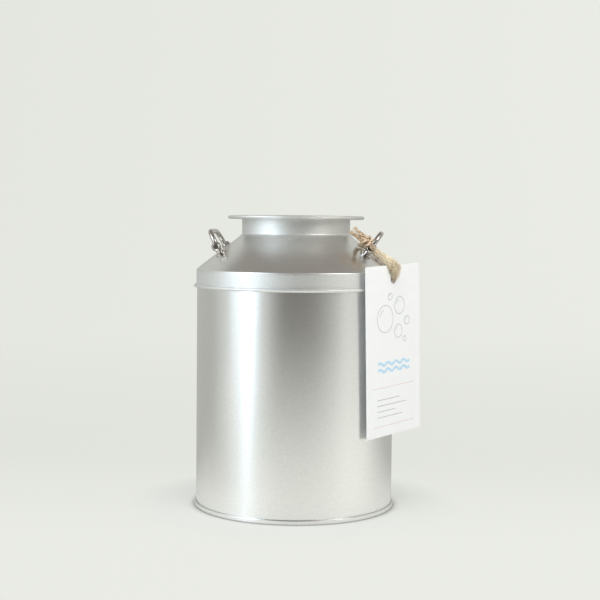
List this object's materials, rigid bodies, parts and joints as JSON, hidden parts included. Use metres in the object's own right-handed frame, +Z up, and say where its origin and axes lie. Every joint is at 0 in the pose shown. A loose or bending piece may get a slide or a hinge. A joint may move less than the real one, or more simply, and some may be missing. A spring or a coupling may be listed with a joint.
{
  "type": "laundry powder tin",
  "caption": "Round tinplate can with a slip-on lid shaped as a sloped shoulder and neck under a wide flat top, two wire handles hinged on the shoulder and a hang tag on a twine loop.",
  "frame": {"origin": "middle of the standing ring, on the surface the tin stands on", "axes": "+Z up along the tin, the tagged handle at +X and the other one at -X, with the lid turned 4.5 degrees clockwise from that line seen from above, -Y towards the viewer of the picture"},
  "size_m": [0.1467, 0.131, 0.1862],
  "materials": {
    "tinplate": "satin tinplate with a fine grain",
    "nickel": "bright nickel plate",
    "jute": "natural jute, twisted and fibrous",
    "card": "white paperboard, matt"
  },
  "bodies": {
    "can": {"can_body": "tinplate", "can_bottom": "tinplate"},
    "lid": {"shoulder_lid": "tinplate", "top_plate": "tinplate", "left_front_post": "nickel", "left_rear_post": "nickel", "right_front_post": "nickel", "right_rear_post": "nickel", "twine": "jute", "twine_knot": "jute", "hang_tag": "card"},
    "left_bail": {"left_handle": "nickel"},
    "right_bail": {"right_handle": "nickel"}
  },
  "joints": [
    {"name": "lid_lift", "type": "slide", "parent": "can", "child": "lid", "axis": [0, 0, 1], "range_m": [0, 0.15]},
    {"name": "left_handle_swing", "type": "hinge", "parent": "lid", "child": "left_bail", "pos_m": [-0.04826, 0.0038, 0.16632], "axis": [-0.0785, -0.9969, 0], "range_deg": [-80, 96]},
    {"name": "right_handle_swing", "type": "hinge", "parent": "lid", "child": "right_bail", "pos_m": [0.04826, -0.0038, 0.16632], "axis": [0.0785, 0.9969, 0], "range_deg": [-78, 80]}
  ]
}
